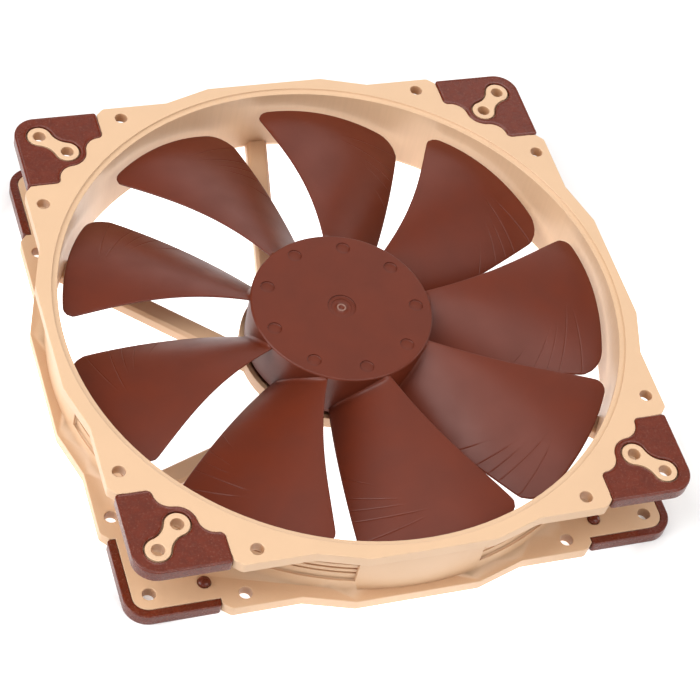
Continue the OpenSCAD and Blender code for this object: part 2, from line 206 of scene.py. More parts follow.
def mixed(tree, factor, first, second, blend="MIX"):
    """The first colour, blended with the second by a factor; all but the first may be fixed values."""
    mix = tree.nodes.new("ShaderNodeMixRGB")
    mix.blend_type = blend
    tree.links.new(first, mix.inputs["Color1"])
    for name, value in (("Fac", factor), ("Color2", second)):
        if isinstance(value, bpy.types.NodeSocket):
            tree.links.new(value, mix.inputs[name])
        else:
            mix.inputs[name].default_value = value
    return mix.outputs["Color"]


def ring_mask(tree, inner, outer):
    """1 between two distances in millimetres from the fan's axis, and 0 elsewhere."""
    mask = tree.nodes.new("ShaderNodeMath")
    mask.operation = "COMPARE"
    tree.links.new(distance_from(tree, own_place(tree, (1, 1, 0))), mask.inputs[0])
    mask.inputs[1].default_value = (inner + outer) / 2 * MM
    mask.inputs[2].default_value = (outer - inner) / 2 * MM
    return mask.outputs["Value"]


def with_painted_shade(tree, colour, distance, darkest):
    """Painted shade: a colour, multiplied by up to the darkest one in corners and recesses, found by an
    occlusion test; distance in millimetres.
    """
    near = tree.nodes.new("ShaderNodeAmbientOcclusion")
    near.samples = 6
    near.only_local = True
    set_inputs(near, Distance=distance * MM)
    shade = ramp(tree, near.outputs["AO"], [(0.25, darkest), (0.85, (1, 1, 1))])
    return mixed(tree, 1.0, colour, shade, "MULTIPLY")


def add_streaks(tree, colour, darkest):
    """A colour with fine streaks along the fan's axis on the wall of the duct."""
    noise = add_noise(tree, 900, 2, stretch=(1, 1, 0.06))
    shade = ramp(tree, noise, [(0.36, (darkest, darkest, darkest)), (0.6, (1, 1, 1))])
    return mixed(tree, ring_mask(tree, *DUCT_WALL), colour, shade, "MULTIPLY")


def moulded(name, colour, roughness, mottle, grain, specular=0.5, speckle=None, painted_shade=None, streaks=None,
            gate=None):
    """Moulded plastic: tone mottling (share and scale), a fine grain (strength and scale) and an uneven satin
    gloss. Where given: pale specks, painted shade that darkens corners and recesses (distance and darkest
    tone), streaks on the duct's wall, and a pale gate mark on the axis."""
    material, tree, shader = new_material(name)
    broad = add_noise(tree, mottle[1], 3)
    fine = add_noise(tree, grain[1], 2)
    tone = ramp(tree, broad, [(0.32, scaled(colour, 1 - mottle[0])), (0.68, scaled(colour, 1 + mottle[0]))])
    if speckle:
        specks = ramp(tree, add_noise(tree, 1700, 3, 0.7), [(0.56, (0, 0, 0)), (0.74, (1, 1, 1))])
        tone = mixed(tree, specks, tone, (*speckle, 1))
    if streaks:
        tone = add_streaks(tree, tone, streaks)
    if gate:
        tone = mixed(tree, ring_mask(tree, *GATE_RING), tone, (*gate, 1))
    # Painted shade: the colour darkens in corners and recesses.
    if painted_shade:
        tone = with_painted_shade(tree, tone, *painted_shade)
    tree.links.new(tone, shader.inputs["Base Color"])
    gloss = spread(tree, broad, roughness + 0.04, roughness - 0.04)
    tree.links.new(gloss, shader.inputs["Roughness"])
    set_inputs(shader, Specular_IOR_Level=specular)
    add_bump(tree, shader, [(broad, 0.25, 0.00025), (fine, grain[0], 0.00004)])
    return material


def turned_metal(name, colour, roughness, anisotropy=0.4):
    """Metal with fine tool marks."""
    material, tree, shader = new_material(name)
    fine = add_noise(tree, 4000, 3)
    broad = add_noise(tree, 250, 2)
    tone = ramp(tree, broad, [(0.3, scaled(colour, 0.88)), (0.7, colour)])
    tree.links.new(tone, shader.inputs["Base Color"])
    tree.links.new(spread(tree, fine, roughness - 0.06, roughness + 0.08), shader.inputs["Roughness"])
    set_inputs(shader, Metallic=1.0, Anisotropic=anisotropy)
    add_bump(tree, shader, [(fine, 0.2, 0.00002)])
    return material


BEIGE = (0.61, 0.40, 0.245)
BROWN = (0.112, 0.019, 0.007)
PAD_BROWN = (0.112, 0.0165, 0.006)
# Inner and outer radius of the duct's streaked wall, and of the pale ring on the hub cap
DUCT_WALL = (94.5, 96.0)
GATE_RING = (1.05, 1.6)

# The frame, impeller and pad plastics darken their colour in corners and recesses as painted shade.
MATERIALS = {
    "frame_plastic": moulded(
        "frame_plastic", BEIGE, 0.42, mottle=(0.018, 60), grain=(0.25, 5000),
        painted_shade=(20, (0.72, 0.56, 0.44)), streaks=0.97),
    "impeller_plastic": moulded(
        "impeller_plastic", BROWN, 0.41, mottle=(0.07, 90), grain=(0.25, 4500), specular=0.30,
        painted_shade=(5, (0.45, 0.38, 0.36)), gate=(0.22, 0.115, 0.085)),
    "pad_rubber": moulded(
        "pad_rubber", PAD_BROWN, 0.27, mottle=(0.12, 420), grain=(0.4, 1900), specular=0.42,
        speckle=(0.21, 0.075, 0.048), painted_shade=(2, (0.55, 0.5, 0.5))),
    "steel": turned_metal("steel", (0.62, 0.63, 0.65), 0.3),
    "magnet": moulded("magnet", (0.045, 0.045, 0.05), 0.6, mottle=(0.12, 500), grain=(0.5, 6000)),
    "brass": turned_metal("brass", (0.72, 0.50, 0.20), 0.28),
    "bronze": turned_metal("bronze", (0.55, 0.36, 0.16), 0.42, 0.1),
    "nylon": moulded("nylon", (0.72, 0.70, 0.62), 0.45, mottle=(0.03, 200), grain=(0.2, 5000)),
    "seal_rubber": moulded("seal_rubber", (0.03, 0.03, 0.03), 0.55, mottle=(0.1, 400), grain=(0.4, 6000)),
    "lamination": turned_metal("lamination", (0.42, 0.43, 0.45), 0.38),
    "winding": turned_metal("winding", (0.60, 0.24, 0.08), 0.25, 0.0),
    "board": moulded("board", (0.02, 0.12, 0.06), 0.35, mottle=(0.08, 300), grain=(0.2, 3000)),
    "chip": moulded("chip", (0.025, 0.025, 0.027), 0.5, mottle=(0.08, 600), grain=(0.5, 8000)),
    "can": turned_metal("can", (0.75, 0.76, 0.78), 0.3),
    "label": turned_metal("label", (0.50, 0.50, 0.51), 0.45),
}


# ---------------------------------------------------------------- CAD nodes

# Points nearer than WELD are one point. In degrees, faces within FLAT_ANGLE are one face, and an edge is
# sharp from EDGE_ANGLE on.
WELD = 0.002
FLAT_ANGLE = 0.8
EDGE_ANGLE = 32
LEVEL_TOLERANCE = 0.05


def add_modifier(obj, kind, **settings):
    modifier = obj.modifiers.new(kind.lower(), kind)
    for name, value in settings.items():
        setattr(modifier, name, value)
    return modifier


def shade(mesh, sharp_angle):
    """Shades a mesh smooth, apart from the edges that turn by more than an angle in degrees."""
    mesh.shade_smooth()
    mesh.set_sharp_from_angle(angle=math.radians(sharp_angle))


def finish_node(name, slot, rounding):
    """Gives a CAD node the material of its slot, and rounds its edges."""
    obj = frame["nodes"][name]
    for material_slot in obj.material_slots:
        material_slot.material = MATERIALS[slot]
    obj.data.shade_smooth()
    add_modifier(obj, "WELD", merge_threshold=WELD * MM)
    add_modifier(obj, "DECIMATE", decimate_type="DISSOLVE", angle_limit=math.radians(FLAT_ANGLE))
    add_modifier(
        obj, "BEVEL", width=rounding * MM, segments=3, limit_method="ANGLE",
        angle_limit=math.radians(EDGE_ANGLE), use_clamp_overlap=False,
    )
    add_modifier(obj, "WEIGHTED_NORMAL", keep_sharp=False, weight=100)


def rounded_copy(node, slot, rounding, body, plain_levels):
    """A copy of a CAD node with its outward edges rounded, apart from those at the plain levels' heights."""
    mesh = bpy.data.meshes.new(node + "_moulding")
    bm = bmesh.new()
    bm.from_mesh(frame["nodes"][node].data)
    bmesh.ops.remove_doubles(bm, verts=bm.verts, dist=WELD * MM)
    bmesh.ops.dissolve_limit(bm, angle_limit=math.radians(FLAT_ANGLE), verts=bm.verts, edges=bm.edges)

    def to_round(edge):
        if not edge.is_convex or edge.calc_face_angle() < math.radians(EDGE_ANGLE):
            return False
        height = (edge.verts[0].co.z + edge.verts[1].co.z) / 2 / MM
        return all(abs(height - level) > LEVEL_TOLERANCE for level in plain_levels)

    bmesh.ops.bevel(
        bm, geom=[e for e in bm.edges if to_round(e)], offset=rounding * MM, offset_type="OFFSET",
        segments=3, profile=0.5, affect="EDGES", clamp_overlap=False,
    )
    bmesh.ops.triangulate(bm, faces=[f for f in bm.faces if len(f.verts) > 4])
    bm.to_mesh(mesh)
    bm.free()
    mesh.materials.append(MATERIALS[slot])
    shade(mesh, EDGE_ANGLE)
    obj = bpy.data.objects.new(node + "_moulding", mesh)
    bpy.context.collection.objects.link(obj)
    add_modifier(obj, "WEIGHTED_NORMAL", keep_sharp=True, weight=100)
    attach(obj, body)
    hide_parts(node)


# ---------------------------------------------------------------- Mesh helpers

def mesh_object(name, points, faces, slot):
    """A mesh object from points in millimetres."""
    mesh = bpy.data.meshes.new(name)
    mesh.from_pydata([Vector(p) * MM for p in points], [], faces)
    mesh.materials.append(MATERIALS[slot])
    obj = bpy.data.objects.new(name, mesh)
    bpy.context.collection.objects.link(obj)
    return obj


def lathe(profile, steps):
    """Points and faces of a closed solid, turned from an (r, z) profile that starts and ends on the axis."""
    inner = profile[1:-1]
    points = [(0, 0, profile[0][1])]
    for k in range(steps):
        angle = 2 * math.pi * k / steps
        points += [(r * math.cos(angle), r * math.sin(angle), z) for r, z in inner]
    points.append((0, 0, profile[-1][1]))
    n = len(inner)
    last = len(points) - 1
    faces = []
    for k in range(steps):
        a = 1 + k * n
        b = 1 + (k + 1) % steps * n
        faces.append((0, b, a))
        faces += [(a + i, b + i, b + i + 1, a + i + 1) for i in range(n - 1)]
        faces.append((a + n - 1, b + n - 1, last))
    return points, faces


def combine(obj, others, operation):
    """Joins other solids to obj, or cuts them from it."""
    for other in others:
        add_modifier(obj, "BOOLEAN", object=other, operation=operation, solver="MANIFOLD")
    bpy.context.view_layer.update()
    result = bpy.data.meshes.new_from_object(obj.evaluated_get(bpy.context.evaluated_depsgraph_get()))
    obj.modifiers.clear()
    obj.data = result
    for other in others:
        bpy.data.objects.remove(other)


def arc_points(centre, radius, start, end, steps):
    """(r, z) points of an arc; angles in degrees."""
    angles = [math.radians(start + (end - start) * i / steps) for i in range(steps + 1)]
    return [(centre[0] + radius * math.cos(a), centre[1] + radius * math.sin(a)) for a in angles]


def even(start, end, count):
    """count values after start, evenly spaced, up to and with end."""
    return [start + (end - start) * (i + 1) / count for i in range(count)]


def cleaned(loop):
    """A closed (x, y) loop without repeated points, as Vectors."""
    points = [Vector(p) for p in loop]
    return [p for i, p in enumerate(points) if (p - points[i - 1]).length > 0.02]


def inset(loop, distance):
    """A counter-clockwise loop moved inward, mitred at each point."""
    moved = []
    for i, p in enumerate(loop):
        before = (p - loop[i - 1]).normalized()
        after = (loop[(i + 1) % len(loop)] - p).normalized()
        inward = Vector((-before.y - after.y, before.x + after.x))
        moved.append(p + inward * distance / (1 + before.dot(after)))
    return moved


def skin(loop, profile):
    """Rings of points: the loop moved inward by, and lifted to, each (distance, z) of a profile."""
    return [[(p.x, p.y, z) for p in inset(loop, distance)] for distance, z in profile]


def plate(outer, holes):
    """Points and faces of a closed plate. Each skin is its rings, from the bottom cap's edge to the top's."""
    points, faces, ends = [], [], []
    for k, rings in enumerate([outer, *holes]):
        base, n = len(points), len(rings[0])
        points += [p for ring in rings for p in ring]
        for i in range(len(rings) - 1):
            for j in range(n):
                a, b = base + i * n + j, base + i * n + (j + 1) % n
                quad = (a, b, b + n, a + n)
                faces.append(quad if k == 0 else quad[::-1])
        ends.append((range(base, base + n), range(base + (len(rings) - 1) * n, len(points))))
    for side in (0, 1):
        loops = [[Vector(points[i]) for i in end[side]] for end in ends]
        index = [i for end in ends for i in end[side]]
        for corners in tessellate_polygon(loops):
            a, b, c = (index[i] for i in corners)
            u, v = Vector(points[b]) - Vector(points[a]), Vector(points[c]) - Vector(points[a])
            upward = u.x * v.y - u.y * v.x > 0
            faces.append((a, b, c) if upward == (side == 1) else (c, b, a))
    return points, faces


def direction(v):
    return math.degrees(math.atan2(v[1], v[0]))


def swapped(points):
    """The points mirrored in the corner's diagonal, in reverse order."""
    return [(y, x) for x, y in reversed(points)]


# ---------------------------------------------------------------- Corner pads

# How far the plate's face lies below the bead along its edges
PAD_BEAD = 0.12
# Radius of the rounded edge and width up to the end of its bead, round the plate and round the opening
PAD_EDGE = (0.45, 0.9)
OPENING_EDGE = (0.25, 0.7)
RIM_EDGE_R = 0.35
PEG_DOME = 1.3
# How far the rim and the pegs reach into the plate
PAD_OVERLAP = 0.4
PAD_SHARP_ANGLE = 40


def touching(a, ra, b, rb, r):
    """Centre of the circle of radius r that touches two circles from outside, right of the line a to b."""
    along = b - a
    u = along.normalized()
    p, q, d = ra + r, rb + r, along.length
    x = (p * p - q * q + d * d) / (2 * d)
    return a + u * x + Vector((u.y, -u.x)) * math.sqrt(p * p - x * x)


def pad_end_arc():
    return arc_points((PAD_OUTER - PAD_END_R, PAD_END + PAD_END_R), PAD_END_R, 0, -90, 5)


def pad_corner_arc():
    middle = PAD_OUTER - PAD_CORNER_R
    return arc_points((middle, middle), PAD_CORNER_R, 90, 0, 20)


def pad_loop():
    """Outline of the plate of the pad at +x and +y, counter-clockwise."""
    lobe, nose = Vector((INNER_HOLE, INNER_HOLE)), Vector(PAD_NOSE)
    fillet = touching(lobe, PAD_LOBE_R, nose, PAD_NOSE_R, PAD_FILLET_R)
    to_nose, to_lobe = direction(nose - fillet), direction(lobe - fillet)
    side = [
        *pad_end_arc(),
        *arc_points(nose, PAD_NOSE_R, -90, to_nose - 180, 8),
        *arc_points(fillet, PAD_FILLET_R, to_nose, to_lobe, 14),
    ]
    from_lobe = direction(fillet - lobe)
    lobe_arc = arc_points(lobe, PAD_LOBE_R, from_lobe, 90 - from_lobe - 360, 20)
    return cleaned((side + lobe_arc + swapped(side) + pad_corner_arc())[::-1])


def boss_loop(grow):
    """Outline of the boss round a corner's two holes, grown all round, counter-clockwise."""
    centre = (OUTER_HOLE + INNER_HOLE) / 2
    reach = (OUTER_HOLE - INNER_HOLE) / math.sqrt(2)
    waist_r = (reach ** 2 + BOSS_WAIST ** 2 - BOSS_R ** 2) / (2 * (BOSS_R - BOSS_WAIST))
    waist_at = BOSS_WAIST + waist_r
    meet = direction((-reach, waist_at))
    loop = [
        *arc_points((reach, 0), BOSS_R + grow, -meet, meet, 24),
        *arc_points((0, waist_at), waist_r - grow, meet - 180, -meet, 12),
        *arc_points((-reach, 0), BOSS_R + grow, 180 - meet, 180 + meet, 24),
        *arc_points((0, -waist_at), waist_r - grow, meet, 180 - meet, 12),
    ]
    turn = Matrix.Rotation(math.radians(45), 2)
    return cleaned([turn @ Vector(p) + Vector((centre, centre)) for p in loop])


def pad_rim_loop():
    """Outline of the band that wraps the flange's corner, counter-clockwise."""
    inner = PAD_OUTER - PAD_RIM_T
    middle = inner - PAD_RIM_INNER_R
    inner_arc = arc_points((middle, middle), PAD_RIM_INNER_R, 0, 90, 10)
    outside = [*swapped(pad_end_arc()), *pad_corner_arc(), *pad_end_arc()]
    return cleaned([(inner, PAD_END), *inner_arc, (PAD_END, inner), *outside][::-1])


def edge_profile(top, radius, bead_w):
    """(distance, z) up a wall, round its top edge, and down from the raised bead to the plate's face."""
    round_top = [(radius - r, top - radius + z) for r, z in arc_points((0, 0), radius, 0, 90, 5)]
    crest = radius + 0.1
    return [*round_top, (crest, top), (bead_w - 0.12, top - PAD_BEAD * 0.8), (bead_w, top - PAD_BEAD)]


def peg_profile(bottom):
    """(r, z) profile of a peg with a domed lower end, up to just inside the plate."""
    dome = [(r, PAD_LOW.z + PEG_DOME * (1 - z / PEG_R)) for r, z in arc_points((0, 0), PEG_R, 75, 0, 6)]
    return [(0, PAD_LOW.z), *dome, (PEG_R, bottom + PAD_OVERLAP), (0, bottom + PAD_OVERLAP)]


def pad_mesh():
    """The front pad at +x and +y: plate with its opening, rim and two domed pegs, as one solid."""
    top = PAD_HIGH.z
    bottom = top - PAD_PLATE_T
    rim_bottom = top - PAD_RIM_H
    plate_skin = skin(pad_loop(), [(0, bottom), *edge_profile(top, *PAD_EDGE)])
    opening = [(-d, z) for d, z in [(0, bottom), *edge_profile(top, *OPENING_EDGE)]]
    pad = mesh_object("pad", *plate(plate_skin, [skin(boss_loop(BOSS_GAP), opening)]), "pad_rubber")
    rim_edge = arc_points((0, 0), RIM_EDGE_R, 90, 0, 4)
    under = [(RIM_EDGE_R - r, rim_bottom + RIM_EDGE_R - z) for r, z in rim_edge]
    rim_skin = skin(pad_rim_loop(), [*under, (0, bottom + PAD_OVERLAP)])
    others = [mesh_object("rim", *plate(rim_skin, []), "pad_rubber")]
    for x, y in (PEG_AT, PEG_AT[::-1]):
        points, faces = lathe(peg_profile(bottom), 36)
        placed = [(px + x, py + y, pz) for px, py, pz in points]
        others.append(mesh_object("peg", placed, faces, "pad_rubber"))
    combine(pad, others, "UNION")
    return pad


def make_pads():
    """The eight corner pads: four on the front flange, and four mirrored ones on the rear flange."""
    pattern = pad_mesh()
    middle = (CAD_BOX[0].z + CAD_BOX[1].z) / 2
    flip = Matrix.Translation((0, 0, 2 * middle)) @ Matrix.Scale(-1, 4, (0, 0, 1))
    for face in ("front", "rear"):
        for i in range(4):
            node = f"{face}_pad_{i + 1}"
            mesh = pattern.data.copy()
            mesh.transform(Matrix.Rotation(math.radians(90 * i), 4, "Z"))
            if face == "rear":
                mesh.transform(flip)
                mesh.flip_normals()
            shade(mesh, PAD_SHARP_ANGLE)
            pad = bpy.data.objects.new(node + "_moulding", mesh)
            bpy.context.collection.objects.link(pad)
            add_modifier(pad, "WEIGHTED_NORMAL", keep_sharp=True, weight=100)
            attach(pad, "root")
            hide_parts(node)
    bpy.data.objects.remove(pattern)


# ---------------------------------------------------------------- Motor

def stator_loop():
    """Outline of the laminations: a ring with a neck and a shoe for each pole, counter-clockwise."""
    shoe_r = CORE_R - SHOE_T
    at_ring = math.degrees(math.asin(NECK_W / 2 / YOKE_CORE_R))
    at_shoe = math.degrees(math.asin(NECK_W / 2 / shoe_r))
    gap = 180 / POLES
    centre = (0, 0)
    pole = [
        *arc_points(centre, YOKE_CORE_R, -gap, -at_ring, 6),
        *arc_points(centre, shoe_r, -at_shoe, -SHOE_HALF_ANGLE, 8),
        *arc_points(centre, CORE_R, -SHOE_HALF_ANGLE, SHOE_HALF_ANGLE, 24),
        *arc_points(centre, shoe_r, SHOE_HALF_ANGLE, at_shoe, 8),
        *arc_points(centre, YOKE_CORE_R, at_ring, gap, 6),
    ]
    turns = [Matrix.Rotation(math.radians(360 / POLES * k), 2) for k in range(POLES)]
    return cleaned([turn @ Vector(p) for turn in turns for p in pole])


def make_stator():
    """The stack of laminations, with a fine groove between each two sheets."""
    count = round((CORE_HIGH.z - CORE_LOW.z) / LAMINATION_T)
    groove = LAMINATION_T / 10
    profile = []
    for k in range(count):
        z = CORE_LOW.z + k * LAMINATION_T
        profile += [(groove, z), (0, z + groove), (0, z + LAMINATION_T - groove)]
    profile.append((groove, CORE_HIGH.z))
    bore = cleaned(arc_points((0, 0), CORE_BORE_R, 0, 360, 64)[:-1])
    rings = skin(bore, [(0, CORE_LOW.z), (0, CORE_HIGH.z)])
    core = mesh_object("stator_laminations", *plate(skin(stator_loop(), profile), [rings]), "lamination")
    shade(core.data, 30)
    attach(core, "root")
    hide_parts("stator_core")


def winding_ring(x, share):
    """A rounded rectangle round a pole's neck, on the insulator at share 0 and on the outside at share 1."""
    middle_z = (COIL_LOW.z + COIL_HIGH.z) / 2
    neck_h = (CORE_HIGH.z - CORE_LOW.z) / 2 + INSULATOR_T
    half_w = NECK_W / 2 + (COIL_HIGH.y - NECK_W / 2) * share
    half_h = neck_h + (COIL_HIGH.z - middle_z - neck_h) * share
    r = 0.3 + 2.4 * share
    points = []
    for k, (sy, sz) in enumerate(((1, 1), (-1, 1), (-1, -1), (1, -1))):
        corner = (sy * (half_w - r), sz * (half_h - r))
        points += [(x, y, middle_z + z) for y, z in arc_points(corner, r, 90 * k, 90 * k + 90, 6)]
    return points


def coil_mesh():
    """Points and faces of one winding: wire turns along its outside, and wire layers on its two ends."""
    # Height of a wire's surface across its width, and the slight barrel shape of the winding
    wave = [0.0, 0.66, 0.92, 1.0, 0.92, 0.66]
    crown = 0.10
    turns = int((COIL_HIGH.x - COIL_LOW.x) / WIRE_T)
    pitch = (COIL_HIGH.x - COIL_LOW.x - WIRE_T) / turns
    layers = 6
    depth = WIRE_T / 2 / (COIL_HIGH.y - NECK_W / 2)
    end_low, end_high = COIL_LOW.x + WIRE_T / 2, COIL_HIGH.x - WIRE_T / 2
    rings = []
    for k in range(layers):
        for i, w in enumerate(wave):
            rings.append((end_low - WIRE_T / 2 * w, (k + i / len(wave)) / layers * (1 - depth - crown)))
    for k in range(turns):
        for i, w in enumerate(wave):
            along = (k + i / len(wave)) / turns
            share = 1 - depth * (1 - w) - crown * (2 * along - 1) ** 2
            rings.append((end_low + pitch * turns * along, share))
    for k in range(layers):
        for i, w in enumerate(wave):
            share = (1 - (k + i / len(wave)) / layers) * (1 - depth - crown)
            rings.append((end_high + WIRE_T / 2 * w, share))
    rings.append((end_high, 0))
    loops = [winding_ring(x, share) for x, share in rings]
    n, m = len(loops[0]), len(loops)
    faces = []
    for i in range(m):
        for j in range(n):
            a, b = i * n + j, i * n + (j + 1) % n
            c, d = (i + 1) % m * n + (j + 1) % n, (i + 1) % m * n + j
            faces.append((a, b, c, d))
    return [p for loop in loops for p in loop], faces


def make_coils():
    """The four windings, one round each pole's neck."""
    points, faces = coil_mesh()
    for k in range(POLES):
        turn = Matrix.Rotation(math.radians(360 / POLES * k), 3, "Z")
        coil = mesh_object(f"winding_{k + 1}", [turn @ Vector(p) for p in points], faces, "winding")
        shade(coil.data, 70)
        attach(coil, "root")
        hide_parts(f"coil_{k + 1}")


# ---------------------------------------------------------------- Impeller

# Each flow channel: the share of the chord where it starts, and its share of the span there and at its end
CHANNELS = (
    (0.72, 0.605, 0.475),
    (0.61, 0.71, 0.61),
    (0.60, 0.745, 0.69),
    (0.46, 0.81, 0.76),
    (0.50, 0.835, 0.895),
)
CHANNEL_W = 0.42
CHANNEL_DEPTH = 0.12
CHANNEL_RUN_IN = 0.2
ROWS_BETWEEN = (20, 5, 3, 4, 3)
ROOT_FILLET = 1.5
EDGE_ROUND = 0.35
EDGE_STEPS = (0, 0.04, 0.15, EDGE_ROUND)
CHORD_COLUMNS = 40
CAP_RINGS = (28.7, 22.7, 18, 12, 7)

# Distance from the axis and first angle of the round marks on the cap
MARK_AT = (25.7, 32.4)
# (radius, drop below the cap) of the round marks, and of the stepped recess and gate ring at the cap's centre
CAP_MARK = ((0, 0.55), (2.0, 0.55), (2.25, 0.5), (2.38, 0.38), (2.42, 0.1), (2.43, 0))
CAP_CENTRE = (
    (4.86, 0), (4.85, 0.4), (4.75, 0.47), (4.6, 0.5), (3.6, 0.5), (3.58, 0.7), (3.4, 0.75), (1.8, 0.75),
    (1.65, 0.6), (1.5, 0.54), (1.15, 0.54), (1.0, 0.6), (0.85, 0.75), (0, 0.75),
)


def poly(coefficients, s):
    return sum(c * s ** i for i, c in enumerate(coefficients))


def smooth(x):
    x = min(1.0, max(0.0, x))
    return x * x * (3 - 2 * x)


def corner_cut(a, r):
    return 0.0 if a >= r else r - math.sqrt(r * r - (r - a) ** 2)


TIP_CHORD = TIP_R * math.radians(poly(LEAD_ANGLE, 1) - poly(TRAIL_ANGLE, 1))


def tip_radius(t):
    return TIP_R - corner_cut(t * TIP_CHORD, LEAD_CORNER_R) - corner_cut((1 - t) * TIP_CHORD, TRAIL_CORNER_R)


def hub_radius(z):
    return HUB_R - HUB_DRAFT * (HUB_TOP - HUB_EDGE - z) / (HUB_TOP - HUB_EDGE - HUB_BOTTOM)


def channel_radius(k, t):
    """Radius of channel k at the chord share t, kept inside the blade's rounded tip."""
    start, s0, s1 = CHANNELS[k]
    s = s0 + (s1 - s0) * max(0.0, t - start) / (1 - start)
    room = 1.5 + 2 * (len(CHANNELS) - 1 - k)
    return min(HUB_R + s * (TIP_R - HUB_R), tip_radius(t) - room)


def blade_rows(t):
    """(radius, channel depth) of each row of the blade at the chord share t."""
    rows = [(HUB_R + step, 0) for step in (-1.0, -0.4, 0, 0.3, 0.8, ROOT_FILLET)]
    for k, count in enumerate(ROWS_BETWEEN):
        line = channel_radius(k, t)
        depth = CHANNEL_DEPTH * smooth((t - CHANNELS[k][0]) / CHANNEL_RUN_IN)
        rows += [(r, 0) for r in even(rows[-1][0], line - CHANNEL_W, count)]
        rows += [(line - CHANNEL_W / 2, 0), (line, depth), (line + CHANNEL_W / 2, 0), (line + CHANNEL_W, 0)]
    tip = tip_radius(t)
    rows += [(r, 0) for r in even(rows[-1][0], tip - 0.8, 8)]
    rows += [(tip - a, 0) for a in reversed(EDGE_STEPS)]
    return rows


def chord_columns(r):
    """Shares of the chord for the columns at radius r, with the rounded edges at fixed distances."""
    s = (r - HUB_R) / (TIP_R - HUB_R)
    chord = r * math.radians(poly(LEAD_ANGLE, s) - poly(TRAIL_ANGLE, s))
    middle = even(EDGE_ROUND, chord - EDGE_ROUND, CHORD_COLUMNS)
    return [a / chord for a in [*EDGE_STEPS, *middle, *[chord - a for a in EDGE_STEPS[-2::-1]]]], chord


def rounding(a):
    return math.sqrt(max(0.0, 1 - (1 - a / EDGE_ROUND) ** 2)) if a < EDGE_ROUND else 1.0


def blade_skins(t, r, depth, a_edge, a_tip):
    """The upper and the lower point of the blade at the chord share t and radius r."""
    s = (r - HUB_R) / (TIP_R - HUB_R)
    angle = math.radians(poly(LEAD_ANGLE, s) * (1 - t) + poly(TRAIL_ANGLE, s) * t)
    bulge = 4 * t * (1 - t)
    z = poly(LEAD_Z, s) * (1 - t) + poly(TRAIL_Z, s) * t + poly(CAMBER, s) * bulge
    half = (BLADE_EDGE_T + (BLADE_T - BLADE_EDGE_T) * bulge) / 2
    off_hub = min(ROOT_FILLET, max(0.0, r - hub_radius(z)))
    flare = corner_cut(off_hub, ROOT_FILLET) * smooth(a_edge / 2.5)
    half = (half + flare) * rounding(a_edge) * rounding(a_tip)
    x, y = r * math.cos(angle), r * math.sin(angle)
    return (x, y, z + half - depth * rounding(a_edge)), (x, y, z - half)


def blade_mesh():
    """Points and faces of one closed blade: two skins that share their outer edge."""
    mean_r = (HUB_R + TIP_R) / 2
    shares, _ = chord_columns(mean_r)
    rows = [blade_rows(t) for t in shares]
    n, m = len(shares), len(rows[0])
    upper, lower = [], []
    for i in range(m):
        for j in range(n):
            r, depth = rows[j][i]
            t_row, chord = chord_columns(r)
            t = t_row[j]
            a_edge = min(t, 1 - t) * chord
            top, bottom = blade_skins(t, r, depth, a_edge, tip_radius(shares[j]) - r)
            upper.append(top)
            lower.append(bottom)
    points = list(upper)
    below = {}
    for i in range(m):
        for j in range(n):
            if j in (0, n - 1) or i == m - 1:
                below[i, j] = i * n + j
            else:
                below[i, j] = len(points)
                points.append(lower[i * n + j])
    faces = []
    for i in range(m - 1):
        for j in range(n - 1):
            corners = ((i, j), (i, j + 1), (i + 1, j + 1), (i + 1, j))
            faces.append(tuple(a * n + b for a, b in corners))
            faces.append(tuple(below[c] for c in reversed(corners)))
    for j in range(n - 1):
        root = [below[0, j], below[0, j + 1], j + 1, j]
        faces.append(tuple(dict.fromkeys(root)))
    return points, faces


def hub_profile():
    """(r, z) profile of the hub: bore boss, skirt, rounded cap edge, and the recess at the cap's centre."""
    boss_r, boss_h = BORE_BOSS
    inner_r = HUB_R - HUB_WALL
    low_r = HUB_R - HUB_DRAFT
    lip = 0.25
    return [
        (0, CAP_UNDER), (BRASS_R, CAP_UNDER), (BRASS_R, CAP_UNDER - boss_h), (boss_r, CAP_UNDER - boss_h),
        (boss_r, CAP_UNDER), (inner_r, CAP_UNDER), (inner_r, HUB_BOTTOM + lip), (inner_r + lip, HUB_BOTTOM),
        *arc_points((low_r - lip, HUB_BOTTOM + lip), lip, -90, 0, 3),
        *arc_points((HUB_R - HUB_EDGE, HUB_TOP - HUB_EDGE), HUB_EDGE, 0, 90, 6),
        *[(r, HUB_TOP) for r in CAP_RINGS],
        *[(r, HUB_TOP - drop) for r, drop in CAP_CENTRE],
    ]


def make_impeller():
    """Hub and blades in one moulding, with the shallow round marks on the cap."""
    hub = mesh_object("impeller_moulding", *lathe(hub_profile(), 180), "impeller_plastic")
    above = HUB_TOP + 1
    mark_points, mark_faces = lathe(
        [*[(r, HUB_TOP - drop) for r, drop in CAP_MARK], (CAP_MARK[-1][0], above), (0, above)], 48)
    mark_r, first_mark = MARK_AT
    blade_points, blade_faces = blade_mesh()
    blades, marks = [], []
    for k in range(BLADES):
        step = 360 / BLADES * k
        turn = Matrix.Rotation(math.radians(step), 3, "Z")
        points = [turn @ Vector(p) for p in blade_points]
        blades.append(mesh_object(f"blade_{k}", points, blade_faces, "impeller_plastic"))
        centre = Matrix.Rotation(math.radians(first_mark + step), 3, "Z") @ Vector((mark_r, 0, 0))
        points = [Vector(p) + centre for p in mark_points]
        marks.append(mesh_object(f"mark_{k}", points, mark_faces, "impeller_plastic"))
    combine(hub, marks, "DIFFERENCE")
    combine(hub, blades, "UNION")
    shade(hub.data, 50)
    add_modifier(hub, "WEIGHTED_NORMAL", keep_sharp=True, weight=100)
    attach(hub, "rotor")
    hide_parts("impeller")


# ---------------------------------------------------------------- Studio

